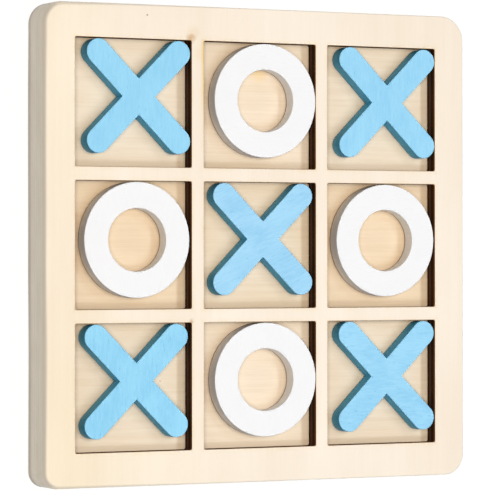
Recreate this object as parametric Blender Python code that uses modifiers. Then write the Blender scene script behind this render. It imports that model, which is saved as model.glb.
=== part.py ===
"""Tic tac toe set: a two-layer wooden board with nine square cells and nine loose playing pieces.

Metres, +Z up. The origin is the centre of the board's underside. +X is the right of the board and
+Y its top, for a player who looks down on it. Each playing piece has its own origin at the middle
of its underside, on the line along which it lifts out of its cell.
"""

import math

import bmesh
import bpy

# Board
BOARD_SIDE = 0.140
BOARD_CORNER_RADIUS = 0.0060
BOARD_EDGE_RADIUS = 0.0012
BASE_THICKNESS = 0.0075
BOARD_THICKNESS = 0.0120

# Cells
CELLS_PER_SIDE = 3
CELL_PITCH = 0.0413
CELL_SIDE = 0.0373
CELL_CORNER_RADIUS = 0.0006

# Playing pieces
CROSS_SPAN = 0.0331
CROSS_ARM_WIDTH = 0.0075
RING_DIAMETER = 0.0337
RING_BAND_WIDTH = 0.0076
PIECE_EDGE_RADIUS = 0.00025

# Clearance between two pieces that touch on the real set
CONTACT_GAP = 0.0003

# How far the cell cutter passes through the grid panel, and the distance at which points are one
CUTTER_OVERRUN = 0.002
MERGE_DISTANCE = 0.000001

# Faces that turn less than these angles are shaded as one round surface, or joined into one flat face
SMOOTH_ANGLE = math.radians(35)
FLAT_ANGLE = math.radians(1)

# How finely round shapes are cut
BOARD_CORNER_STEPS = 8
BOARD_EDGE_STEPS = 3
CELL_CORNER_STEPS = 2
ARM_TIP_STEPS = 12
RING_STEPS = 56

# Cell column and row, counted from the centre, and the piece's shift from the middle of its cell
CROSS_PLACES = {
    "cross_top_left": (-1, 1, 0.00165, 0.00180),
    "cross_top_right": (1, 1, 0.00180, 0.00180),
    "cross_centre": (0, 0, 0.00095, 0.00180),
    "cross_bottom_left": (-1, -1, 0.00085, 0.00180),
    "cross_bottom_right": (1, -1, 0.00175, 0.00180),
}
RING_PLACES = {
    "ring_top_centre": (0, 1, 0.00150, 0.00150),
    "ring_middle_left": (-1, 0, 0.00105, 0.00150),
    "ring_middle_right": (1, 0, 0.00135, 0.00150),
    "ring_bottom_centre": (0, -1, 0.00150, 0.00150),
}

# Worked out from the sizes above
GRID_BOTTOM = BASE_THICKNESS + CONTACT_GAP
PIECE_BOTTOM = BASE_THICKNESS + CONTACT_GAP
PIECE_THICKNESS = BOARD_THICKNESS - PIECE_BOTTOM
RING_OUTER_RADIUS = RING_DIAMETER / 2
RING_INNER_RADIUS = RING_OUTER_RADIUS - RING_BAND_WIDTH


def clear_scene():
    for scene_object in list(bpy.data.objects):
        bpy.data.objects.remove(scene_object, do_unlink=True)


def new_collection(name):
    collection = bpy.data.collections.new(name)
    bpy.context.scene.collection.children.link(collection)
    return collection


def wood_material(name, colour, roughness):
    material = bpy.data.materials.new(name)
    material.use_nodes = True
    shader = material.node_tree.nodes["Principled BSDF"]
    shader.inputs["Base Color"].default_value = (*colour, 1.0)
    shader.inputs["Roughness"].default_value = roughness
    shader.inputs["Metallic"].default_value = 0.0
    return material


def pale_grid_wood():
    return wood_material("grid_wood", (0.93, 0.83, 0.66), 0.55)


def tan_base_wood():
    return wood_material("base_wood", (0.78, 0.62, 0.43), 0.60)


def blue_paint():
    return wood_material("blue_paint", (0.31, 0.66, 0.95), 0.50)


def white_paint():
    return wood_material("white_paint", (0.90, 0.91, 0.92), 0.50)


def add_object(name, mesh, collection, material=None):
    new_object = bpy.data.objects.new(name, mesh)
    collection.objects.link(new_object)
    if material is not None:
        mesh.materials.append(material)
    return new_object


def upright_edges(mesh_builder):
    edges = []
    for edge in mesh_builder.edges:
        start, end = edge.verts
        if abs(start.co.z - end.co.z) > abs(start.co.x - end.co.x) + abs(start.co.y - end.co.y):
            edges.append(edge)
    return edges


def rim_edges(mesh_builder, height):
    return [edge for edge in mesh_builder.edges
            if all(abs(vertex.co.z - height) < MERGE_DISTANCE for vertex in edge.verts)]


def round_edges(mesh_builder, edges, radius, steps):
    bmesh.ops.bevel(mesh_builder, geom=edges, offset=radius, offset_type="OFFSET",
                    segments=steps, profile=0.5, affect="EDGES")


def rounded_slab(side, bottom, top, corner_radius, corner_steps, centre=(0.0, 0.0)):
    """A square slab between two heights, with its upright edges rounded."""
    mesh_builder = bmesh.new()
    bmesh.ops.create_cube(mesh_builder, size=1.0)
    bmesh.ops.scale(mesh_builder, vec=(side, side, top - bottom), verts=mesh_builder.verts)
    middle = (centre[0], centre[1], (top + bottom) / 2)
    bmesh.ops.translate(mesh_builder, vec=middle, verts=mesh_builder.verts)
    round_edges(mesh_builder, upright_edges(mesh_builder), corner_radius, corner_steps)
    return mesh_builder


def mesh_from(mesh_builder, name):
    mesh = bpy.data.meshes.new(name)
    mesh_builder.to_mesh(mesh)
    mesh_builder.free()
    return mesh


def shade_round(mesh):
    mesh.shade_smooth()
    mesh.set_sharp_from_angle(angle=SMOOTH_ANGLE)


def cell_centre(column, row):
    return (column * CELL_PITCH, row * CELL_PITCH)


def make_base_panel(parts, material):
    """The solid lower panel, with its lower outer edge rounded over."""
    slab = rounded_slab(BOARD_SIDE, 0.0, BASE_THICKNESS, BOARD_CORNER_RADIUS, BOARD_CORNER_STEPS)
    round_edges(slab, rim_edges(slab, 0.0), BOARD_EDGE_RADIUS, BOARD_EDGE_STEPS)
    mesh = mesh_from(slab, "base_panel")
    shade_round(mesh)
    return add_object("base_panel", mesh, parts, material)


def make_cell_cutter(cutters):
    """Nine square prisms that pass through the grid panel."""
    joined = bmesh.new()
    middle = CELLS_PER_SIDE // 2
    for column in range(-middle, middle + 1):
        for row in range(-middle, middle + 1):
            prism = rounded_slab(CELL_SIDE, GRID_BOTTOM - CUTTER_OVERRUN, BOARD_THICKNESS + CUTTER_OVERRUN,
                                 CELL_CORNER_RADIUS, CELL_CORNER_STEPS, cell_centre(column, row))
            prism_mesh = mesh_from(prism, "cell_prism")
            joined.from_mesh(prism_mesh)
            bpy.data.meshes.remove(prism_mesh)
    cutter = add_object("cell_cutter", mesh_from(joined, "cell_cutter"), cutters)
    cutter.hide_render = True
    cutter.display_type = "WIRE"
    return cutter


def make_grid_panel(parts, cutter, material):
    """The upper panel, with its upper outer edge rounded over and the nine cells cut through it."""
    slab = rounded_slab(BOARD_SIDE, GRID_BOTTOM, BOARD_THICKNESS, BOARD_CORNER_RADIUS,
                        BOARD_CORNER_STEPS)
    round_edges(slab, rim_edges(slab, BOARD_THICKNESS), BOARD_EDGE_RADIUS, BOARD_EDGE_STEPS)
    mesh = mesh_from(slab, "grid_panel")
    shade_round(mesh)
    panel = add_object("grid_panel", mesh, parts, material)
    cut = panel.modifiers.new("cells", "BOOLEAN")
    cut.operation = "DIFFERENCE"
    cut.solver = "EXACT"
    cut.object = cutter
    return panel


def cross_outline():
    """Points round a cross of two bars at 45 degrees, with half-round tips, counter-clockwise."""
    half_width = CROSS_ARM_WIDTH / 2
    tip_reach = (CROSS_SPAN / 2 - half_width) * math.sqrt(2)
    notch_reach = half_width * math.sqrt(2)
    points = []
    for arm in range(4):
        arm_angle = math.radians(45 + 90 * arm)
        tip_x = tip_reach * math.cos(arm_angle)
        tip_y = tip_reach * math.sin(arm_angle)
        for step in range(ARM_TIP_STEPS + 1):
            angle = arm_angle + math.pi * (step / ARM_TIP_STEPS - 0.5)
            points.append((tip_x + half_width * math.cos(angle), tip_y + half_width * math.sin(angle)))
        notch_angle = arm_angle + math.radians(45)
        points.append((notch_reach * math.cos(notch_angle), notch_reach * math.sin(notch_angle)))
    return points


def flat_curve(name, outline, thickness, collection):
    """A filled outline of a given thickness, standing on the plane Z = 0."""
    curve = bpy.data.curves.new(name, "CURVE")
    curve.dimensions = "2D"
    curve.fill_mode = "BOTH"
    curve.extrude = thickness / 2
    spline = curve.splines.new("POLY")
    spline.points.add(len(outline) - 1)
    for point, (x, y) in zip(spline.points, outline):
        point.co = (x, y, 0.0, 1.0)
    spline.use_cyclic_u = True
    curve_object = bpy.data.objects.new(name, curve)
    curve_object.location.z = thickness / 2
    collection.objects.link(curve_object)
    return curve_object


def mesh_from_curve(curve_object):
    """The curve's solid as one welded mesh, and the curve removed."""
    bpy.context.view_layer.update()
    evaluated = curve_object.evaluated_get(bpy.context.evaluated_depsgraph_get())
    mesh = bpy.data.meshes.new_from_object(evaluated)
    mesh.transform(curve_object.matrix_world)
    bpy.data.objects.remove(curve_object, do_unlink=True)
    welded = bmesh.new()
    welded.from_mesh(mesh)
    bmesh.ops.remove_doubles(welded, verts=welded.verts, dist=MERGE_DISTANCE)
    welded.to_mesh(mesh)
    welded.free()
    return mesh


def make_cross_mesh(cutters, material):
    """The shape that all the crosses share: flat faces with softened rims."""
    mesh = mesh_from_curve(flat_curve("cross", cross_outline(), PIECE_THICKNESS, cutters))
    mesh.name = "cross"
    mesh.materials.clear()
    mesh.materials.append(material)
    builder = bmesh.new()
    builder.from_mesh(mesh)
    bmesh.ops.dissolve_limit(builder, angle_limit=FLAT_ANGLE, verts=builder.verts,
                             edges=builder.edges)
    rims = rim_edges(builder, 0.0) + rim_edges(builder, PIECE_THICKNESS)
    round_edges(builder, rims, PIECE_EDGE_RADIUS, 1)
    builder.to_mesh(mesh)
    builder.free()
    shade_round(mesh)
    return mesh


def ring_profile():
    """The ring's section with softened rims, from the top of its outer side down and round."""
    soft = PIECE_EDGE_RADIUS
    outer = RING_OUTER_RADIUS
    inner = RING_INNER_RADIUS
    top = PIECE_THICKNESS
    return [(outer, top - soft), (outer, soft), (outer - soft, 0.0), (inner + soft, 0.0),
            (inner, soft), (inner, top - soft), (inner + soft, top), (outer - soft, top)]


def make_ring_mesh(material):
    """The section that all the rings share. A Screw modifier on each ring turns it."""
    mesh = bpy.data.meshes.new("ring")
    section = bmesh.new()
    corners = [section.verts.new((x, 0.0, z)) for x, z in ring_profile()]
    for index, corner in enumerate(corners):
        section.edges.new((corner, corners[(index + 1) % len(corners)]))
    section.to_mesh(mesh)
    section.free()
    mesh.materials.append(material)
    return mesh


def turn(ring):
    screw = ring.modifiers.new("turn", "SCREW")
    screw.axis = "Z"
    screw.angle = math.tau
    screw.steps = RING_STEPS
    screw.render_steps = RING_STEPS
    screw.use_merge_vertices = True
    screw.merge_threshold = MERGE_DISTANCE
    screw.use_smooth_shade = False


def place_piece(piece, place):
    column, row, shift_x, shift_y = place
    centre_x, centre_y = cell_centre(column, row)
    piece.location = (centre_x + shift_x, centre_y + shift_y, PIECE_BOTTOM)


def make_crosses(parts, cutters, material):
    mesh = make_cross_mesh(cutters, material)
    for name, place in CROSS_PLACES.items():
        place_piece(add_object(name, mesh, parts), place)


def make_rings(parts, material):
    mesh = make_ring_mesh(material)
    for name, place in RING_PLACES.items():
        ring = add_object(name, mesh, parts)
        turn(ring)
        place_piece(ring, place)


def main():
    clear_scene()
    parts = new_collection("tic_tac_toe_set")
    cutters = new_collection("cutters")
    make_base_panel(parts, tan_base_wood())
    make_grid_panel(parts, make_cell_cutter(cutters), pale_grid_wood())
    make_crosses(parts, cutters, blue_paint())
    make_rings(parts, white_paint())


main()
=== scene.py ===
"""Looks of the tic tac toe set: fine meshes and wood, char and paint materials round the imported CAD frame.

Metres, in the frame's axes: +Z out of the cells, +X the board's right, +Y its top.
"""

import math

import bmesh
import bpy
from mathutils import Matrix, Vector, noise


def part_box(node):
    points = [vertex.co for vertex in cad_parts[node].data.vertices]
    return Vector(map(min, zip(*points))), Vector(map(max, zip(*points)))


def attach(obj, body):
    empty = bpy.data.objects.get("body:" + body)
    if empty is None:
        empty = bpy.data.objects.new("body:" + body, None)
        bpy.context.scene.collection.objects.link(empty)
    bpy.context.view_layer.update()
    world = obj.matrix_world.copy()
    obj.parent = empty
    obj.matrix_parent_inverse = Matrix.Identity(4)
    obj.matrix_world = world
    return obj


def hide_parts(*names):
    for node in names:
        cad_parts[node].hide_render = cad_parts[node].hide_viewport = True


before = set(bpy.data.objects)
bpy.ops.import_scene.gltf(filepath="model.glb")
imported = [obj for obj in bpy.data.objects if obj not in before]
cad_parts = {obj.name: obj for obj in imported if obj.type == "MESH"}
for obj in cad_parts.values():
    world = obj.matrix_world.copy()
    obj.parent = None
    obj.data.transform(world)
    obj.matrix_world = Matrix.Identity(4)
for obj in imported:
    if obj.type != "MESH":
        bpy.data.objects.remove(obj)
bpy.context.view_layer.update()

MM = 0.001

# Board, from the frame
BASE_LOW, BASE_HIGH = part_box("base_panel")
_, GRID_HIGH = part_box("grid_panel")
BOARD_HALF = GRID_HIGH.x
BOARD_TOP = GRID_HIGH.z
FLOOR_HEIGHT = BASE_HIGH.z
GLUE_LINE = 0.02 * MM

# Board, as in the CAD part
CELL_PITCH = 41.3 * MM
CELL_SIDE = 37.3 * MM
CELL_CORNER = 0.6 * MM
CROSS_ARM_WIDTH = 7.5 * MM
RING_BAND_WIDTH = 7.6 * MM

# Board, as its edges were sanded: radii of the corners top right, top left, bottom left, bottom right
CORNER_RADII = (7.5 * MM, 6.3 * MM, 4.7 * MM, 6.3 * MM)
EDGE_ROUND = 0.40 * MM
EDGE_ROUND_LEFT = 1.60 * MM
EDGE_ROUND_RIPPLE = 0.20
RIPPLES_PER_METRE = 45
RIPPLE_SEED = 1.5
PLY_THICKNESS = 1.5 * MM
SEAM_DEPTH = 0.012 * MM
SEAM_SPREAD = 0.05 * MM
JOINT_EASE = 0.06 * MM
CELL_EASE = 0.05 * MM

# Playing pieces
PIECE_TOP_ROUND = 0.22 * MM
PIECE_BOTTOM_ROUND = 0.10 * MM
PIECE_TOP_STEPS = 4
PIECE_BOTTOM_STEPS = 2
PIECE_TOP_SUPPORT = 0.15 * MM
PAINTED_SHARE = 0.75
PIECE_REST_GAP = 0.02 * MM
WALL_REACH = 0.31 * MM
WALL_REST_GAP = 0.05 * MM

# Tone of the board's sanded sides
SIDE_WOOD = (0.800, 0.720, 0.605)

# Edges sharper than this stay sharp
SHARP_ANGLE = math.radians(32)

# Marks on the wood, and one patch of painted shade, as positions on its upper faces, from the board's middle
PIN_KNOT = (-37.0 * MM, 66.85 * MM, BOARD_TOP)
RED_SPECK = (-30.8 * MM, -39.8 * MM, FLOOR_HEIGHT)
# Painted shade, not a mark: the warm shade on the floor at the top of the top centre ring's hole.
HOLE_TOP_SHADE = (1.7 * MM, 51.6 * MM, FLOOR_HEIGHT)
YELLOWED_CORNER = (-58 * MM, -62 * MM, BOARD_TOP)

# Steps that round shapes are cut into
CORNER_STEPS = 20
STRAIGHT_STEPS = 40
ROUND_STEPS = 6
CELL_CORNER_STEPS = 5
CELL_SIDE_STEPS = 24
TIP_STEPS = 32
ARM_STEPS = 8
RING_STEPS = 160

# Camera
CAMERA_LENS_MM = 222.85
CAMERA_AIM = Vector((-5.14 * MM, 0.06 * MM, BOARD_TOP))
CAMERA_DISTANCE = 0.8957
CAMERA_LEAN_LEFT = math.radians(27.198)
CAMERA_LEAN_UP = math.radians(-0.289)
CAMERA_ROLL = math.radians(-0.053)

# Light
WORLD_STRENGTH = 0.065
COOL = (0.88, 1.00, 1.14)
WARM = (1.12, 1.00, 0.87)
SHEET_SIZE = 12.0
SHEET_DROP = 0.1 * MM
SHEET_GREY = 0.06
SHEET_GLOW = 0.96


# ---------------------------------------------------------------- outlines

def arc(centre_x, centre_y, radius, start, sweep, steps):
    """Points on an arc, ends included."""
    points = []
    for step in range(steps + 1):
        angle = start + sweep * step / steps
        points.append((centre_x + radius * math.cos(angle), centre_y + radius * math.sin(angle)))
    return points


def subdivided(start, end, steps):
    """Points between two points, ends left out."""
    points = []
    for step in range(1, steps):
        share = step / steps
        points.append((start[0] + (end[0] - start[0]) * share, start[1] + (end[1] - start[1]) * share))
    return points


def rounded_square(half, radii, corner_steps, straight_steps):
    """A square with arcs at its corners, counter-clockwise, as (point, outward normal) pairs."""
    corners = []
    for index, ((sign_x, sign_y), radius) in enumerate(zip(((1, 1), (-1, 1), (-1, -1), (1, -1)), radii)):
        middle = (sign_x * (half - radius), sign_y * (half - radius))
        start = index * math.pi / 2
        points = arc(*middle, radius, start, math.pi / 2, corner_steps)
        corners.append([(point, ((point[0] - middle[0]) / radius, (point[1] - middle[1]) / radius))
                        for point in points])
    outline = []
    for index, corner in enumerate(corners):
        following = corners[(index + 1) % len(corners)]
        outline.extend(corner)
        side_normal = corner[-1][1]
        for point in subdivided(corner[-1][0], following[0][0], straight_steps):
            outline.append((point, side_normal))
    return outline


def cross_outline(reach, half_width):
    """A cross of two bars at 45 degrees with half-round tips. reach is from the middle to a tip's centre."""
    arms = []
    for arm in range(4):
        angle = math.radians(45 + 90 * arm)
        tip = (reach * math.cos(angle), reach * math.sin(angle))
        arms.append(arc(*tip, half_width, angle - math.pi / 2, math.pi, TIP_STEPS))
    points = []
    for arm, tip_points in enumerate(arms):
        following = arms[(arm + 1) % 4]
        notch_angle = math.radians(90 + 90 * arm)
        notch_reach = half_width * math.sqrt(2)
        notch = (notch_reach * math.cos(notch_angle), notch_reach * math.sin(notch_angle))
        points.extend(tip_points)
        points.extend(subdivided(tip_points[-1], notch, ARM_STEPS))
        points.append(notch)
        points.extend(subdivided(notch, following[0], ARM_STEPS))
    return points


def circle_outline(radius):
    return arc(0.0, 0.0, radius, 0.0, math.tau, RING_STEPS)[:-1]


# ---------------------------------------------------------------- mesh building

def add_loop(builder, outline, height):
    return [builder.verts.new((x, y, height)) for x, y in outline]


def join_loops(builder, lower, upper, material_index, inwards=False):
    """A band of quads between two loops of the same count. Faces look outwards unless inwards is set."""
    count = len(lower)
    for index in range(count):
        following = (index + 1) % count
        corners = [lower[index], lower[following], upper[following], upper[index]]
        if inwards:
            corners.reverse()
        face = builder.faces.new(corners)
        face.material_index = material_index


def loop_edges(builder, loop):
    edges = []
    for index, vertex in enumerate(loop):
        edges.append(builder.edges.get((vertex, loop[(index + 1) % len(loop)])))
    return edges


def fill_flat(builder, loops, material_index, upwards):
    """Fills the flat region between an outer loop and any loops inside it."""
    edges = []
    for loop in loops:
        edges.extend(loop_edges(builder, loop))
    filled = bmesh.ops.triangle_fill(builder, use_beauty=True, use_dissolve=False, edges=edges)
    for element in filled["geom"]:
        if isinstance(element, bmesh.types.BMFace):
            element.material_index = material_index
            element.normal_update()
            if (element.normal.z > 0) != upwards:
                element.normal_flip()


def finish_piece(builder, name, materials, location=(0.0, 0.0, 0.0)):
    mesh = bpy.data.meshes.new(name)
    builder.normal_update()
    builder.to_mesh(mesh)
    builder.free()
    for material in materials:
        mesh.materials.append(material)
    mesh.shade_smooth()
    mesh.set_sharp_from_angle(angle=SHARP_ANGLE)
    piece = bpy.data.objects.new(name, mesh)
    piece.location = location
    bpy.context.scene.collection.objects.link(piece)
    return piece


def quarter_round(radius, steps):
    """(inset, drop) pairs from the side of a rounded edge to its face. drop is measured from the face."""
    pairs = []
    for step in range(steps + 1):
        angle = math.pi / 2 * step / steps
        pairs.append((radius * (1 - math.cos(angle)), radius * (1 - math.sin(angle))))
    return pairs


def edge_radius(point):
    """How far the board's edge was sanded round at a point: most on the left, and a little unevenly."""
    to_left = (BOARD_HALF - point[0]) / (2 * BOARD_HALF)
    radius = EDGE_ROUND + (EDGE_ROUND_LEFT - EDGE_ROUND) * to_left ** 4
    place = Vector((point[0] * RIPPLES_PER_METRE, point[1] * RIPPLES_PER_METRE, RIPPLE_SEED))
    return radius * (1 + EDGE_ROUND_RIPPLE * noise.noise(place))


def moved_in(point, normal, inset):
    return point[0] - normal[0] * inset, point[1] - normal[1] * inset


# ---------------------------------------------------------------- node graphs

class Paint:
    """One material and short ways to add nodes to it."""

    def __init__(self, name):
        self.material = bpy.data.materials.new(name)
        self.material.use_nodes = True
        self.nodes = self.material.node_tree.nodes
        self.links = self.material.node_tree.links
        self.shader = self.nodes["Principled BSDF"]
        coordinates = self.nodes.new("ShaderNodeTexCoord")
        self.place = coordinates.outputs["Object"]
        self.normal = coordinates.outputs["Normal"]

    def feed(self, socket, value):
        if isinstance(value, bpy.types.NodeSocket):
            self.links.new(value, socket)
        else:
            socket.default_value = value

    def math(self, operation, first, second=0.0, clamp=False):
        node = self.nodes.new("ShaderNodeMath")
        node.operation = operation
        node.use_clamp = clamp
        self.feed(node.inputs[0], first)
        self.feed(node.inputs[1], second)
        return node.outputs[0]

    def total(self, *terms):
        result = terms[0]
        for term in terms[1:]:
            result = self.math("ADD", result, term)
        return result

    def axes(self):
        node = self.nodes.new("ShaderNodeSeparateXYZ")
        self.feed(node.inputs[0], self.place)
        return node.outputs[0], node.outputs[1], node.outputs[2]

    def levelness(self):
        """1 where the surface is level, 0 where it is upright."""
        node = self.nodes.new("ShaderNodeSeparateXYZ")
        self.feed(node.inputs[0], self.normal)
        return self.math("ABSOLUTE", node.outputs[2])

    def facing_right(self):
        """1 on a rounded edge that faces along +X."""
        node = self.nodes.new("ShaderNodeSeparateXYZ")
        self.feed(node.inputs[0], self.normal)
        return self.fade(node.outputs[0], 0.45, 0.80)

    def ramp(self, value, stops):
        """Tones between (position, tone) stops."""
        node = self.nodes.new("ShaderNodeValToRGB")
        elements = node.color_ramp.elements
        while len(elements) < len(stops):
            elements.new(0.5)
        for element, (position, tone) in zip(elements, stops):
            element.position = position
            element.color = (tone, tone, tone, 1.0)
        self.feed(node.inputs[0], value)
        return node.outputs[0]

    def stretched(self, sizes, angle=0.0, seed=0.0):
        """Coordinates that count features of these sizes, in metres, turned about Z by angle."""
        node = self.nodes.new("ShaderNodeMapping")
        node.vector_type = "TEXTURE"
        self.feed(node.inputs["Vector"], self.place)
        node.inputs["Location"].default_value = (seed * 0.37, seed * 0.53, seed * 0.11)
        node.inputs["Rotation"].default_value = (0.0, 0.0, angle)
        node.inputs["Scale"].default_value = sizes
        return node.outputs[0]

    def noise(self, coordinates, detail=2.0, roughness=0.5, distortion=0.0):
        node = self.nodes.new("ShaderNodeTexNoise")
        self.feed(node.inputs["Vector"], coordinates)
        node.inputs["Scale"].default_value = 1.0
        node.inputs["Detail"].default_value = detail
        node.inputs["Roughness"].default_value = roughness
        node.inputs["Distortion"].default_value = distortion
        return node.outputs[0]

    def fade(self, value, start, end, low=0.0, high=1.0):
        """Runs smoothly from low at start to high at end."""
        node = self.nodes.new("ShaderNodeMapRange")
        node.interpolation_type = "SMOOTHSTEP"
        self.feed(node.inputs["Value"], value)
        node.inputs["From Min"].default_value = start
        node.inputs["From Max"].default_value = end
        node.inputs["To Min"].default_value = low
        node.inputs["To Max"].default_value = high
        return node.outputs[0]

    def centred(self, value, gain):
        """A noise value moved to swing about zero, times gain."""
        return self.math("MULTIPLY", self.math("SUBTRACT", value, 0.5), gain)

    def blend(self, share, first, second):
        """A colour between two colours."""
        node = self.nodes.new("ShaderNodeMix")
        node.data_type = "RGBA"
        self.feed(node.inputs[0], share)
        self.feed(node.inputs[6], self.colour(first))
        self.feed(node.inputs[7], self.colour(second))
        return node.outputs[2]

    def tint(self, share, colour, multiplier):
        """colour, multiplied by a colour where share is 1."""
        node = self.nodes.new("ShaderNodeMix")
        node.data_type = "RGBA"
        node.blend_type = "MULTIPLY"
        self.feed(node.inputs[0], share)
        self.feed(node.inputs[6], self.colour(colour))
        self.feed(node.inputs[7], self.colour(multiplier))
        return node.outputs[2]

    def colour(self, value):
        return value if isinstance(value, bpy.types.NodeSocket) else (*value, 1.0)

    def near(self, centre, radius, ragged=0.0):
        """1 at a point, falling to 0 at radius. ragged bends the outline with noise."""
        node = self.nodes.new("ShaderNodeVectorMath")
        node.operation = "DISTANCE"
        self.feed(node.inputs[0], self.place)
        node.inputs[1].default_value = centre
        distance = node.outputs["Value"]
        if ragged:
            grain = self.noise(self.stretched((radius * 0.7,) * 3), detail=3.0)
            distance = self.math("ADD", distance, self.centred(grain, ragged * radius))
        return self.fade(distance, radius, 0.0)

    def finish(self, colour, roughness, relief, depth, specular=0.4):
        """Wires colour, roughness and a height whose full swing is depth metres."""
        self.feed(self.shader.inputs["Base Color"], self.colour(colour))
        self.feed(self.shader.inputs["Roughness"], roughness)
        self.shader.inputs["IOR"].default_value = 1.45
        self.shader.inputs["Specular IOR Level"].default_value = specular
        bump = self.nodes.new("ShaderNodeBump")
        bump.inputs["Strength"].default_value = 1.0
        bump.inputs["Distance"].default_value = depth
        self.feed(bump.inputs["Height"], relief)
        self.links.new(bump.outputs[0], self.shader.inputs["Normal"])
        return self.material


# ---------------------------------------------------------------- materials

def wood_figure(paint, light, dark, angle, seed, figure=1.0, lines=1.0):
    """Basswood's quiet figure: broad patches, growth lines and short fibres along the grain.

    lines is how clearly the growth lines show. Returns the colour and a height from 0 to 1.
    """
    patches = paint.noise(paint.stretched((55 * MM, 18 * MM, 18 * MM), angle, seed), 2.0)
    growth = paint.noise(paint.stretched((60 * MM, 1.5 * MM, 9 * MM), angle, seed + 3), 3.0, 0.55, 0.35)
    streaks = paint.noise(paint.stretched((14 * MM, 0.42 * MM, 3 * MM), angle, seed + 5), 2.0)
    fibres = paint.noise(paint.stretched((2.6 * MM, 0.13 * MM, 1 * MM), angle, seed + 7), 2.0)
    share = paint.total(0.42, paint.centred(patches, 1.4 * figure),
                        paint.centred(growth, 0.95 * lines * figure),
                        paint.centred(streaks, 0.55 * lines * figure), paint.centred(fibres, 0.45 * figure))
    share = paint.math("ADD", share, 0.0, clamp=True)
    colour = paint.blend(share, light, dark)
    relief = paint.total(paint.math("MULTIPLY", streaks, 0.5), paint.math("MULTIPLY", fibres, 0.5))
    return colour, relief


def distance_outside_cells(paint):
    """Metres from the nearest cell opening, negative inside one."""
    x, y, _ = paint.axes()
    reaches = []
    for coordinate in (x, y):
        from_middle = paint.math("ABSOLUTE", coordinate)
        from_side = paint.math("ABSOLUTE", paint.math("SUBTRACT", from_middle, CELL_PITCH))
        reaches.append(paint.math("MINIMUM", from_middle, from_side))
    return paint.math("SUBTRACT", paint.math("MAXIMUM", *reaches), CELL_SIDE / 2)


def scorched(paint, colour):
    """The laser's marks on the face.

    A thin brown fringe, a faint yellow haze, a yellow strip beside the top centre cell and smoke at corners.
    """
    outside = distance_outside_cells(paint)
    patches = paint.noise(paint.stretched((7 * MM, 7 * MM, 7 * MM), 0.0, 11), 3.0)
    haze = paint.math("MULTIPLY", paint.fade(outside, 1.6 * MM, 0.0), paint.fade(patches, 0.35, 0.75))
    colour = paint.tint(paint.math("MULTIPLY", haze, 0.55), colour, (0.97, 0.90, 0.74))
    ragged = paint.noise(paint.stretched((0.8 * MM, 0.8 * MM, 0.8 * MM), 0.0, 12), 3.0)
    fringe = paint.fade(paint.total(outside, paint.centred(ragged, 0.25 * MM)), 0.22 * MM, 0.02 * MM)
    colour = paint.tint(paint.math("MULTIPLY", fringe, 0.65), colour, (0.66, 0.45, 0.26))
    x, y, _ = paint.axes()
    from_edge = paint.math("ABSOLUTE", paint.math("ADD", x, CELL_SIDE / 2))
    length = paint.math("MULTIPLY", paint.fade(y, 26 * MM, 56 * MM), paint.fade(y, 61 * MM, 59 * MM))
    singed = paint.math("MULTIPLY", paint.fade(from_edge, 1.3 * MM, 0.2 * MM), length)
    colour = paint.tint(singed, colour, (0.97, 0.84, 0.50))
    left = -CELL_PITCH + CELL_SIDE / 2
    upper = CELL_PITCH + CELL_SIDE / 2
    lower = -CELL_PITCH + CELL_SIDE / 2
    for centre_x, centre_y, radius, strength, stain in (
        (left - 0.3 * MM, upper + 0.5 * MM, 2.2 * MM, 0.80, (0.68, 0.48, 0.27)),
        (left + 0.6 * MM, upper + 2.2 * MM, 3.0 * MM, 0.35, (0.86, 0.76, 0.55)),
        (left - 0.2 * MM, lower + 0.3 * MM, 1.2 * MM, 0.60, (0.55, 0.36, 0.20)),
        (left + 2.6 * MM, upper - 4.0 * MM, 3.4 * MM, 0.30, (0.95, 0.82, 0.58)),
    ):
        spot = paint.near((centre_x, centre_y, BOARD_TOP), radius, 0.8)
        colour = paint.tint(paint.math("MULTIPLY", spot, strength), colour, stain)
    pin_knot = paint.near(PIN_KNOT, 0.42 * MM, 0.4)
    return paint.tint(pin_knot, colour, (0.22, 0.16, 0.12))


def sanded_arris(paint, colour):
    """Turns a face's colour into the side's over the sanded edge.

    The edge is darkened by its slope, most on the left. Along the top and bottom the side tone and the
    darkening are held back: painted light that keeps those rounded edges as light as the face.
    """
    level = paint.levelness()
    x, y, _ = paint.axes()
    # Painted light: the top and bottom rounded edges are kept lighter than the rest of the sanded edge.
    lit_ends_band = paint.fade(paint.math("ABSOLUTE", y), 66 * MM, 69 * MM, 0.0, 0.65)
    painted_light_ends = paint.math("MULTIPLY", lit_ends_band, paint.fade(x, -69 * MM, -64 * MM))
    edge_tone_share = paint.math("SUBTRACT", 1.0, painted_light_ends)
    turned = paint.math("MULTIPLY", paint.fade(level, 0.995, 0.90), edge_tone_share)
    colour = paint.blend(turned, colour, SIDE_WOOD)
    stops = ((0.0, 1.0), (0.26, 0.96), (0.50, 0.84), (0.70, 0.74), (0.87, 0.74), (0.97, 0.90), (1.0, 1.0))
    slope_darkening = paint.ramp(level, stops)
    amount = paint.math("MULTIPLY", paint.fade(x, 0.0, -0.9 * BOARD_HALF, 0.3, 1.0), edge_tone_share)
    return paint.tint(amount, colour, slope_darkening)


def make_face_wood():
    """The grid panel's upper face: pale sanded basswood with laser marks round the cells."""
    paint = Paint("face_wood")
    light, dark = (0.955, 0.855, 0.725), (0.885, 0.770, 0.620)
    colour, relief = wood_figure(paint, light, dark, math.pi / 2, 1.0, figure=1.2, lines=0.5)
    x, _, _ = paint.axes()
    colour = paint.tint(paint.fade(x, -40 * MM, -66 * MM), colour, (1.0, 0.985, 0.93))
    yellowed = paint.near(YELLOWED_CORNER, 60 * MM, 0.4)
    colour = paint.tint(yellowed, colour, (1.0, 0.985, 0.93))
    colour = sanded_arris(paint, scorched(paint, colour))
    rough = paint.total(0.56, paint.centred(relief, 0.12))
    return paint.finish(colour, rough, relief, 0.018 * MM)


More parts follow.
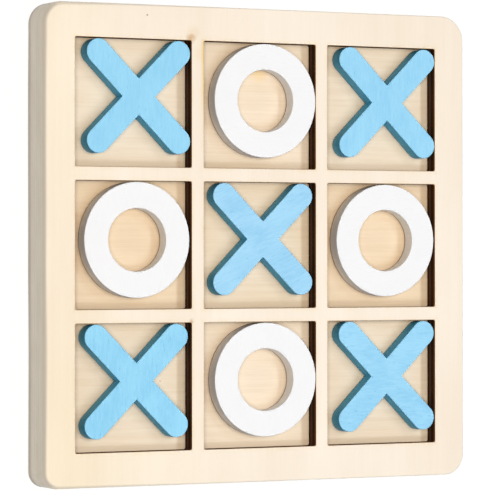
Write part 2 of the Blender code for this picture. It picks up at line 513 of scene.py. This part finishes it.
def make_floor_wood():
    """The base panel's faces: a tanner basswood with clearer lines across the board."""
    paint = Paint("floor_wood")
    light, dark = (0.880, 0.752, 0.590), (0.770, 0.622, 0.450)
    colour, relief = wood_figure(paint, light, dark, 0.0, 2.0, figure=1.2)
    x, y, _ = paint.axes()
    waver = paint.noise(paint.stretched((40 * MM, 9 * MM, 9 * MM), 0.0, 15), 2.0)
    from_middle = paint.math("ABSOLUTE", paint.total(y, paint.centred(waver, 6 * MM)))
    middle_row = paint.fade(from_middle, 22 * MM, 16 * MM)
    outer_columns = paint.fade(paint.math("ABSOLUTE", x), 14 * MM, 26 * MM, 0.4, 1.0)
    colour = paint.tint(paint.math("MULTIPLY", middle_row, outer_columns), colour, (0.970, 0.920, 0.840))
    # Painted shade: warmer and a little darker on the floor within about 12 mm of the cell walls, the walls'
    # warm shade.
    wall_shade_waver = paint.noise(paint.stretched((6 * MM, 6 * MM, 6 * MM), 0.0, 16), 3.0)
    wall_shade_reach = paint.total(distance_outside_cells(paint), paint.centred(wall_shade_waver, 5 * MM))
    colour = paint.tint(paint.fade(wall_shade_reach, -12 * MM, 0.0), colour, (0.980, 0.960, 0.920))
    stain = paint.near(RED_SPECK, 0.45 * MM, 0.6)
    colour = paint.tint(stain, colour, (0.90, 0.52, 0.38))
    # Painted shade: warmer and darker at the top of the top centre ring's hole.
    hole_shade = paint.near(HOLE_TOP_SHADE, 4.4 * MM, 0.5)
    colour = paint.tint(hole_shade, colour, (1.00, 0.92, 0.70))
    colour = sanded_arris(paint, colour)
    rough = paint.total(0.60, paint.centred(relief, 0.12))
    return paint.finish(colour, rough, relief, 0.020 * MM)


def make_ply_edge():
    """The board's sanded sides: plies of slightly different tone and fine end grain, the two lowest plies
    darker as painted shade along the lower edge.
    """
    paint = Paint("ply_edge")
    _, _, z = paint.axes()
    waver = paint.noise(paint.stretched((22 * MM, 22 * MM, 4 * MM), 0.0, 4), 2.0)
    height = paint.math("ADD", z, paint.centred(waver, 0.25 * MM))
    # The two lowest tones are painted shade: the darkening along the board's lower edge where it stood on
    # its surface.
    tones = (0.66, 0.70, 0.975, 1.00, 0.99, 0.985, 0.975, 0.97)
    stops = [((index + 0.5) / len(tones), tone) for index, tone in enumerate(tones)]
    ply = paint.ramp(paint.math("DIVIDE", height, PLY_THICKNESS * len(tones)), stops)
    lengthwise = paint.noise(paint.stretched((16 * MM, 16 * MM, 0.16 * MM), 0.0, 5), 3.0)
    speckle = paint.noise(paint.stretched((0.30 * MM, 0.30 * MM, 0.22 * MM), 0.0, 6), 2.0)
    patches = paint.noise(paint.stretched((12 * MM, 12 * MM, 3 * MM), 0.0, 7), 2.0)
    share = paint.total(0.5, paint.centred(lengthwise, 0.9), paint.centred(speckle, 0.5),
                        paint.centred(patches, 0.9))
    share = paint.math("ADD", share, 0.0, clamp=True)
    colour = paint.blend(share, (0.835, 0.765, 0.655), (0.715, 0.635, 0.530))
    colour = paint.tint(1.0, colour, ply)
    nearest = paint.math("PINGPONG", height, PLY_THICKNESS / 2)
    seam = paint.math("MULTIPLY", paint.fade(nearest, 0.09 * MM, 0.0), 0.30)
    colour = paint.tint(seam, colour, (0.72, 0.66, 0.58))
    relief = paint.total(paint.math("MULTIPLY", lengthwise, 0.6), paint.math("MULTIPLY", speckle, 0.4))
    return paint.finish(colour, paint.total(0.66, paint.centred(speckle, 0.1)), relief, 0.03 * MM)


def make_char():
    """The cells' laser-cut walls: near black, browner towards the face and on the middle ply."""
    paint = Paint("laser_char")
    _, _, z = paint.axes()
    strokes = paint.noise(paint.stretched((0.22 * MM, 0.22 * MM, 6 * MM), 0.0, 8), 2.0)
    soot = paint.noise(paint.stretched((6 * MM, 6 * MM, 2 * MM), 0.0, 9), 3.0)
    share = paint.total(0.35, paint.centred(strokes, 0.8), paint.centred(soot, 0.9))
    share = paint.math("ADD", share, 0.0, clamp=True)
    colour = paint.blend(share, (0.022, 0.008, 0.003), (0.085, 0.032, 0.012))
    middle = paint.math("SUBTRACT", z, FLOOR_HEIGHT + PLY_THICKNESS * 1.1)
    band = paint.fade(paint.math("ABSOLUTE", middle), 0.75 * MM, 0.35 * MM)
    colour = paint.blend(paint.math("MULTIPLY", band, 0.55), colour, (0.130, 0.070, 0.042))
    rim = paint.fade(z, BOARD_TOP - 1.3 * MM, BOARD_TOP - 0.1 * MM)
    colour = paint.blend(paint.math("MULTIPLY", rim, 0.75), colour, (0.260, 0.105, 0.035))
    return paint.finish(colour, 0.9, strokes, 0.05 * MM, specular=0.08)


def paint_texture(paint, light, dark, angle, seed, strength):
    """Thin paint over wood: the grain shows as faint streaks, with small pores it didn't fill."""
    cloud = paint.noise(paint.stretched((9 * MM, 6 * MM, 6 * MM), angle, seed), 3.0)
    streaks = paint.noise(paint.stretched((3.4 * MM, 0.60 * MM, 3 * MM), angle, seed + 2), 3.0, 0.6)
    dashes = paint.noise(paint.stretched((1.9 * MM, 0.45 * MM, 1 * MM), angle, seed + 4), 2.0)
    fine = paint.noise(paint.stretched((0.25 * MM, 0.25 * MM, 0.25 * MM), angle, seed + 6), 2.0)
    share = paint.total(0.40, paint.centred(cloud, 0.9 * strength), paint.centred(streaks, 0.9 * strength),
                        paint.centred(fine, 0.45 * strength))
    share = paint.math("ADD", share, 0.0, clamp=True)
    colour = paint.blend(share, light, dark)
    pores = paint.fade(dashes, 0.64, 0.74)
    relief = paint.total(paint.math("MULTIPLY", streaks, 0.5), paint.math("MULTIPLY", fine, 0.3),
                         paint.math("MULTIPLY", pores, -0.5))
    return colour, pores, relief


def make_blue_top(name, angle, seed, strength, red):
    """red is how much red the blue holds, which differs a little from cross to cross."""
    paint = Paint(name)
    light = (0.330 * red, 0.690, 0.925)
    dark = (0.260 * red, 0.600, 0.860)
    colour, pores, relief = paint_texture(paint, light, dark, angle, seed, strength)
    colour = paint.tint(paint.math("MULTIPLY", pores, 0.30 * strength), colour, (0.62, 0.78, 0.86))
    # Painted highlight: rounded edges that face right are lightened, as where they catch the light from the
    # right.
    colour = paint.blend(paint.math("MULTIPLY", paint.facing_right(), 0.45), colour, (0.700, 0.870, 0.960))
    return paint.finish(colour, paint.total(0.50, paint.centred(relief, 0.15)), relief, 0.02 * MM)


def make_blue_side():
    """A cross's cut side: the blue has soaked into scorched wood, browner at the bottom."""
    paint = Paint("blue_side")
    _, _, z = paint.axes()
    strokes = paint.noise(paint.stretched((0.25 * MM, 0.25 * MM, 5 * MM), 0.0, 21), 2.0)
    cloud = paint.noise(paint.stretched((4 * MM, 4 * MM, 2 * MM), 0.0, 22), 3.0)
    share = paint.total(0.45, paint.centred(strokes, 0.7), paint.centred(cloud, 0.8))
    share = paint.math("ADD", share, 0.0, clamp=True)
    colour = paint.blend(share, (0.095, 0.500, 0.790), (0.045, 0.330, 0.560))
    foot = paint.fade(paint.total(z, paint.centred(cloud, 0.8 * MM)), 1.0 * MM, 0.1 * MM)
    colour = paint.blend(paint.math("MULTIPLY", foot, 0.45), colour, (0.060, 0.160, 0.260))
    return paint.finish(colour, 0.62, strokes, 0.04 * MM)


def make_white_top(name, angle, seed):
    paint = Paint(name)
    light, dark = (0.905, 0.910, 0.920), (0.850, 0.855, 0.862)
    colour, pores, relief = paint_texture(paint, light, dark, angle, seed, 0.8)
    colour = paint.tint(paint.math("MULTIPLY", pores, 0.25), colour, (0.86, 0.84, 0.80))
    return paint.finish(colour, paint.total(0.48, paint.centred(relief, 0.15)), relief, 0.02 * MM)


def make_white_side():
    """A ring's cut sides: thin white over toasted wood, with a brown line along the bottom."""
    paint = Paint("white_side")
    _, _, z = paint.axes()
    strokes = paint.noise(paint.stretched((0.25 * MM, 0.25 * MM, 5 * MM), 0.0, 31), 2.0)
    cloud = paint.noise(paint.stretched((5 * MM, 5 * MM, 2 * MM), 0.0, 32), 3.0)
    share = paint.total(0.45, paint.centred(strokes, 0.8), paint.centred(cloud, 0.8))
    share = paint.math("ADD", share, 0.0, clamp=True)
    colour = paint.blend(share, (0.900, 0.915, 0.940), (0.790, 0.795, 0.815))
    foot = paint.fade(paint.total(z, paint.centred(cloud, 0.3 * MM)), 0.65 * MM, 0.30 * MM)
    colour = paint.blend(paint.math("MULTIPLY", foot, 0.80), colour, (0.140, 0.075, 0.045))
    return paint.finish(colour, 0.62, strokes, 0.04 * MM)


# ---------------------------------------------------------------- board

def board_outline():
    return rounded_square(BOARD_HALF, CORNER_RADII, CORNER_STEPS, STRAIGHT_STEPS)


def side_loop(builder, inset, height):
    """A level loop round the board's side."""
    return add_loop(builder, [moved_in(point, normal, inset) for point, normal in board_outline()], height)


def rounding_loops(builder, face_height, direction):
    """Loops of the sanded edge, from the side to the face. direction is +1 where the face looks up."""
    loops = []
    for inset_share, drop_share in quarter_round(1.0, ROUND_STEPS):
        loop = []
        for point, normal in board_outline():
            radius = edge_radius(point)
            x, y = moved_in(point, normal, inset_share * radius)
            loop.append(builder.verts.new((x, y, face_height - direction * drop_share * radius)))
        loops.append(loop)
    return loops


def seam_loops(builder, height):
    """A faint groove where two plies meet."""
    return [side_loop(builder, inset, height + offset)
            for inset, offset in ((0.0, -SEAM_SPREAD), (SEAM_DEPTH, 0.0), (0.0, SEAM_SPREAD))]


def make_base(floor_wood, ply_edge):
    """The solid lower panel. Its upper face is the cells' floor."""
    builder = bmesh.new()
    rounding = rounding_loops(builder, BASE_LOW.z, -1)
    rounding.reverse()
    side = []
    for ply in range(2, 5):
        side += seam_loops(builder, ply * PLY_THICKNESS)
    side.append(side_loop(builder, 0.0, FLOOR_HEIGHT - JOINT_EASE))
    side.append(side_loop(builder, JOINT_EASE, FLOOR_HEIGHT))
    stack = rounding + side
    for index, (lower, upper) in enumerate(zip(stack, stack[1:])):
        join_loops(builder, lower, upper, 0 if index < ROUND_STEPS else 1)
    fill_flat(builder, [stack[0]], 0, upwards=False)
    fill_flat(builder, [stack[-1]], 0, upwards=True)
    return finish_piece(builder, "base_board", [floor_wood, ply_edge])


def cell_walls(builder, centre, bottom, top):
    """One cell's opening: a narrow eased rim above straight walls. Returns its top and bottom loops."""
    outline = rounded_square(CELL_SIDE / 2, (CELL_CORNER,) * 4, CELL_CORNER_STEPS, CELL_SIDE_STEPS)
    loops = []
    levels = ((0.0, bottom), (0.0, (bottom + top) / 2), (0.0, top - CELL_EASE), (CELL_EASE, top))
    for widening, height in levels:
        loop = []
        for point, normal in outline:
            x, y = moved_in(point, normal, -widening)
            loop.append(builder.verts.new((centre[0] + x, centre[1] + y, height)))
        loops.append(loop)
    for lower, upper in zip(loops, loops[1:]):
        join_loops(builder, lower, upper, 2, inwards=True)
    return loops[-1], loops[0]


def make_grid(face_wood, ply_edge, char):
    """The upper panel with its nine cells."""
    builder = bmesh.new()
    bottom = FLOOR_HEIGHT + GLUE_LINE
    side = [side_loop(builder, JOINT_EASE, bottom), side_loop(builder, 0.0, bottom + JOINT_EASE)]
    side += seam_loops(builder, 6 * PLY_THICKNESS)
    rounding = rounding_loops(builder, BOARD_TOP, 1)
    stack = side + rounding
    for index, (lower, upper) in enumerate(zip(stack, stack[1:])):
        join_loops(builder, lower, upper, 0 if index >= len(side) else 1)
    tops = [stack[-1]]
    bottoms = [stack[0]]
    for column in (-1, 0, 1):
        for row in (-1, 0, 1):
            upper, lower = cell_walls(builder, (column * CELL_PITCH, row * CELL_PITCH), bottom, BOARD_TOP)
            tops.append(upper)
            bottoms.append(lower)
    fill_flat(builder, tops, 0, upwards=True)
    fill_flat(builder, bottoms, 1, upwards=False)
    return finish_piece(builder, "grid_board", [face_wood, ply_edge, char])


# ---------------------------------------------------------------- playing pieces

def piece_profile(thickness):
    """(inset, height) pairs up a playing piece's side: bottom edge, straight side, softer top edge."""
    lower = list(reversed(quarter_round(PIECE_BOTTOM_ROUND, PIECE_BOTTOM_STEPS)))
    rounding = quarter_round(PIECE_TOP_ROUND, PIECE_TOP_STEPS)
    upper = [(inset, thickness - drop) for inset, drop in rounding]
    return lower + upper


def top_band_start(profile, thickness):
    """Index of the first band that shows the painted face, half way round the top edge."""
    for index, (_, height) in enumerate(profile):
        if height > thickness - PIECE_TOP_ROUND * PAINTED_SHARE:
            return index
    return len(profile)


def piece_place(node):
    """Where a piece's own origin goes, and its thickness, with the CAD's contact gaps closed.

    A piece that the CAD keeps a contact gap from its cell's right wall leans on that wall.
    """
    low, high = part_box(node)
    bottom = FLOOR_HEIGHT + PIECE_REST_GAP
    middle_x = (low.x + high.x) / 2
    wall = round(middle_x / CELL_PITCH) * CELL_PITCH + CELL_SIDE / 2
    gap = wall - high.x
    if gap < WALL_REACH:
        middle_x += gap - WALL_REST_GAP
    return Vector((middle_x, (low.y + high.y) / 2, bottom)), high.z - bottom


def make_cross(node, top_paint, side_paint):
    low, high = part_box(node)
    location, thickness = piece_place(node)
    half_width = CROSS_ARM_WIDTH / 2
    reach = ((high.x - low.x) / 2 - half_width) * math.sqrt(2)
    builder = bmesh.new()
    profile = piece_profile(thickness)
    painted = top_band_start(profile, thickness)
    loops = []
    for inset, height in profile + [(PIECE_TOP_ROUND + PIECE_TOP_SUPPORT, thickness)]:
        loops.append(add_loop(builder, cross_outline(reach, half_width - inset), height))
    for index, (lower, upper) in enumerate(zip(loops, loops[1:])):
        join_loops(builder, lower, upper, 0 if index >= painted else 1)
    fill_flat(builder, [loops[0]], 1, upwards=False)
    fill_flat(builder, [loops[-1]], 0, upwards=True)
    return finish_piece(builder, "painted_" + node, [top_paint, side_paint], location)


def make_ring(node, top_paint, side_paint):
    low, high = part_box(node)
    location, thickness = piece_place(node)
    outer = (high.x - low.x) / 2
    inner = outer - RING_BAND_WIDTH
    builder = bmesh.new()
    profile = piece_profile(thickness)
    painted = top_band_start(profile, thickness)
    levels = profile + [(PIECE_TOP_ROUND + PIECE_TOP_SUPPORT, thickness)]
    outside = [add_loop(builder, circle_outline(outer - inset), height) for inset, height in levels]
    inside = [add_loop(builder, circle_outline(inner + inset), height) for inset, height in levels]
    for index in range(len(outside) - 1):
        material_index = 0 if index >= painted else 1
        join_loops(builder, outside[index], outside[index + 1], material_index)
        join_loops(builder, inside[index], inside[index + 1], material_index, inwards=True)
    join_loops(builder, outside[-1], inside[-1], 0)
    join_loops(builder, outside[0], inside[0], 1, inwards=True)
    return finish_piece(builder, "painted_" + node, [top_paint, side_paint], location)


def settle(piece, body, slot, *nodes):
    """Rides a piece on its body, in place of the CAD nodes that it stands for."""
    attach(piece, body)
    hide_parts(*nodes)


def make_board():
    floor_wood = make_floor_wood()
    ply_edge = make_ply_edge()
    settle(make_base(floor_wood, ply_edge), "board", "base_wood", "base_panel")
    settle(make_grid(make_face_wood(), ply_edge, make_char()), "board", "grid_wood", "grid_panel")


def make_crosses():
    """Each cross has its own grain, as (direction in degrees, strength, share of red in the blue)."""
    side_paint = make_blue_side()
    grains = {
        "cross_top_left": (90, 1.5, 0.95),
        "cross_top_right": (90, 1.9, 0.98),
        "cross_centre": (20, 2.0, 1.09),
        "cross_bottom_left": (90, 2.3, 0.92),
        "cross_bottom_right": (0, 2.6, 1.01),
    }
    for index, (node, (degrees, strength, red)) in enumerate(grains.items()):
        top_paint = make_blue_top("blue_" + node, math.radians(degrees), 40.0 + 3 * index, strength, red)
        settle(make_cross(node, top_paint, side_paint), node, "blue_paint", node)


def make_rings():
    side_paint = make_white_side()
    nodes = ("ring_top_centre", "ring_middle_left", "ring_middle_right", "ring_bottom_centre")
    for index, node in enumerate(nodes):
        top_paint = make_white_top("white_" + node, math.radians(90 * (index % 2)), 60.0 + 3 * index)
        settle(make_ring(node, top_paint, side_paint), node, "white_paint", node)


# ---------------------------------------------------------------- stage

def make_studio_floor():
    """A plain pale sheet that glows evenly, so that it stays near white round the board."""
    mesh = bpy.data.meshes.new("studio_floor")
    half = SHEET_SIZE / 2
    corners = [(-half, -half, 0.0), (half, -half, 0.0), (half, half, 0.0), (-half, half, 0.0)]
    mesh.from_pydata(corners, [], [(0, 1, 2, 3)])
    sheet = bpy.data.objects.new("studio_floor", mesh)
    sheet.location.z = -SHEET_DROP
    bpy.context.scene.collection.objects.link(sheet)
    material = bpy.data.materials.new("studio_floor")
    material.use_nodes = True
    shader = material.node_tree.nodes["Principled BSDF"]
    shader.inputs["Base Color"].default_value = (SHEET_GREY, SHEET_GREY, SHEET_GREY, 1.0)
    shader.inputs["Roughness"].default_value = 1.0
    shader.inputs["Specular IOR Level"].default_value = 0.0
    shader.inputs["Emission Color"].default_value = (1.0, 1.0, 0.99, 1.0)
    shader.inputs["Emission Strength"].default_value = SHEET_GLOW
    mesh.materials.append(material)


def add_softbox(name, lean_x, lean_y, distance, size_x, size_y, power, colour):
    """An area light that looks at the board, its width along X and its height along Y.

    The leans are its direction's slope from the vertical.
    """
    light = bpy.data.lights.new(name, "AREA")
    light.color = colour
    light.shape = "RECTANGLE"
    light.size = size_x
    light.size_y = size_y
    light.energy = power
    lamp = bpy.data.objects.new(name, light)
    direction = Vector((math.tan(math.radians(lean_x)), math.tan(math.radians(lean_y)), 1.0)).normalized()
    lamp.location = direction * distance
    across = Vector((0.0, 1.0, 0.0)).cross(direction).normalized()
    turn = Matrix((across, direction.cross(across), direction)).transposed()
    lamp.rotation_mode = "QUATERNION"
    lamp.rotation_quaternion = turn.to_quaternion()
    lamp.visible_camera = False
    bpy.context.scene.collection.objects.link(lamp)


def make_light():
    world = bpy.data.worlds.new("studio")
    world.use_nodes = True
    background = world.node_tree.nodes["Background"]
    background.inputs["Color"].default_value = (1.0, 1.0, 1.0, 1.0)
    background.inputs["Strength"].default_value = WORLD_STRENGTH
    bpy.context.scene.world = world
    add_softbox("right_softbox", 30.0, 0.0, 1.3, 0.20, 1.60, 6.8, COOL)
    add_softbox("lower_softbox", 0.0, -24.0, 1.3, 0.90, 0.15, 2.7, COOL)
    add_softbox("left_softbox", -33.0, 0.0, 1.3, 0.20, 0.30, 3.9, WARM)
    add_softbox("top_softbox", 0.0, 4.0, 1.6, 0.50, 0.50, 9.0, WARM)
    bpy.context.scene.view_settings.view_transform = "Standard"


def make_camera():
    camera = bpy.data.cameras.new("camera")
    camera.lens = CAMERA_LENS_MM
    camera.clip_start = 0.01
    camera.clip_end = 50.0
    towards = Vector((-math.sin(CAMERA_LEAN_LEFT) * math.cos(CAMERA_LEAN_UP), math.sin(CAMERA_LEAN_UP),
                      math.cos(CAMERA_LEAN_LEFT) * math.cos(CAMERA_LEAN_UP)))
    right = Vector((0.0, 1.0, 0.0)).cross(towards).normalized()
    upward = towards.cross(right)
    turn = Matrix((right, upward, towards)).transposed() @ Matrix.Rotation(CAMERA_ROLL, 3, "Z")
    holder = bpy.data.objects.new("camera", camera)
    holder.matrix_world = Matrix.Translation(CAMERA_AIM + towards * CAMERA_DISTANCE) @ turn.to_4x4()
    bpy.context.scene.collection.objects.link(holder)
    bpy.context.scene.camera = holder


make_board()
make_crosses()
make_rings()
make_studio_floor()
make_light()
make_camera()
